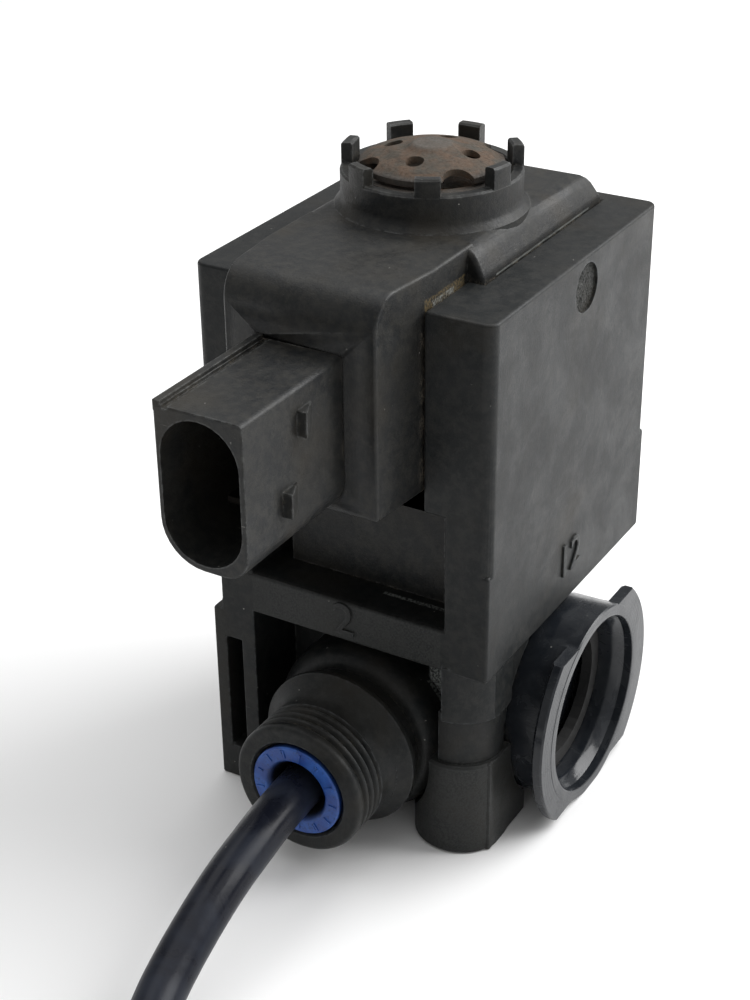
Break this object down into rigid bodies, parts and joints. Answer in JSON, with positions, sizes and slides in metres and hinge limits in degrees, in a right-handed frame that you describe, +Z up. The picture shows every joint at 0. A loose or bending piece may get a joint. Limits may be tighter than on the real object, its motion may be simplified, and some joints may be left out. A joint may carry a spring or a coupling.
{
  "type": "solenoid air valve",
  "caption": "Black plastic solenoid air valve with a raised electrical socket, a castellated exhaust neck, a push-in port holding its air line and a flanged side port.",
  "frame": {"origin": "on the upright valve axis, at the level of the flat base", "axes": "+Z up along the valve axis to the exhaust, -Y towards the electrical socket and port 2, +X towards port 12"},
  "size_m": [0.1092, 0.1344, 0.0942],
  "materials": {
    "body_nylon": "glass-filled black nylon, fine moulded texture, worn",
    "cover_nylon": "black overmoulding, slightly greyer and worn",
    "gloss_nylon": "unfilled glossy black nylon",
    "blue_acetal": "blue acetal, satin",
    "line_nylon": "blue-black satin nylon tube",
    "rusty_steel": "brown rusted sheet steel",
    "steel": "bright steel",
    "brass": "drawn brass",
    "copper": "enamelled copper wire",
    "rubber": "black nitrile rubber",
    "natural_nylon": "natural nylon"
  },
  "bodies": {
    "valve": {"valve_body": "body_nylon", "coil_cover": "cover_nylon", "connector_terminal_lower": "brass", "connector_terminal_upper": "brass", "yoke_frame": "steel", "bobbin": "natural_nylon", "coil_winding": "copper", "guide_tube": "brass", "fixed_core": "steel", "core_seal": "rubber", "return_spring": "steel", "seat_insert": "brass", "exhaust_screen": "rusty_steel", "exhaust_cap_ring": "rusty_steel", "exhaust_cap": "rusty_steel", "lock_pin_right": "body_nylon", "lock_pin_left": "body_nylon", "port2_cartridge": "body_nylon", "port2_grip_ring": "steel", "port2_line_seal": "rubber", "port12_socket": "gloss_nylon", "port12_body_seal": "rubber", "port12_plug_seal": "rubber", "port12_screen": "steel", "air_line": "line_nylon"},
    "plunger": {"armature": "steel", "armature_lower_seal": "rubber", "armature_upper_seal": "rubber"},
    "release_collet": {"port2_collet": "blue_acetal"}
  },
  "joints": [
    {"name": "armature_slide", "type": "slide", "parent": "valve", "child": "plunger", "axis": [0, 0, 1], "range_m": [0, 0.0012], "stiffness_N_per_m": 800, "springref_m": -0.002, "deforming": ["return_spring"]},
    {"name": "collet_slide", "type": "slide", "parent": "valve", "child": "release_collet", "axis": [0, 1, 0], "range_m": [0, 0.0012]}
  ]
}
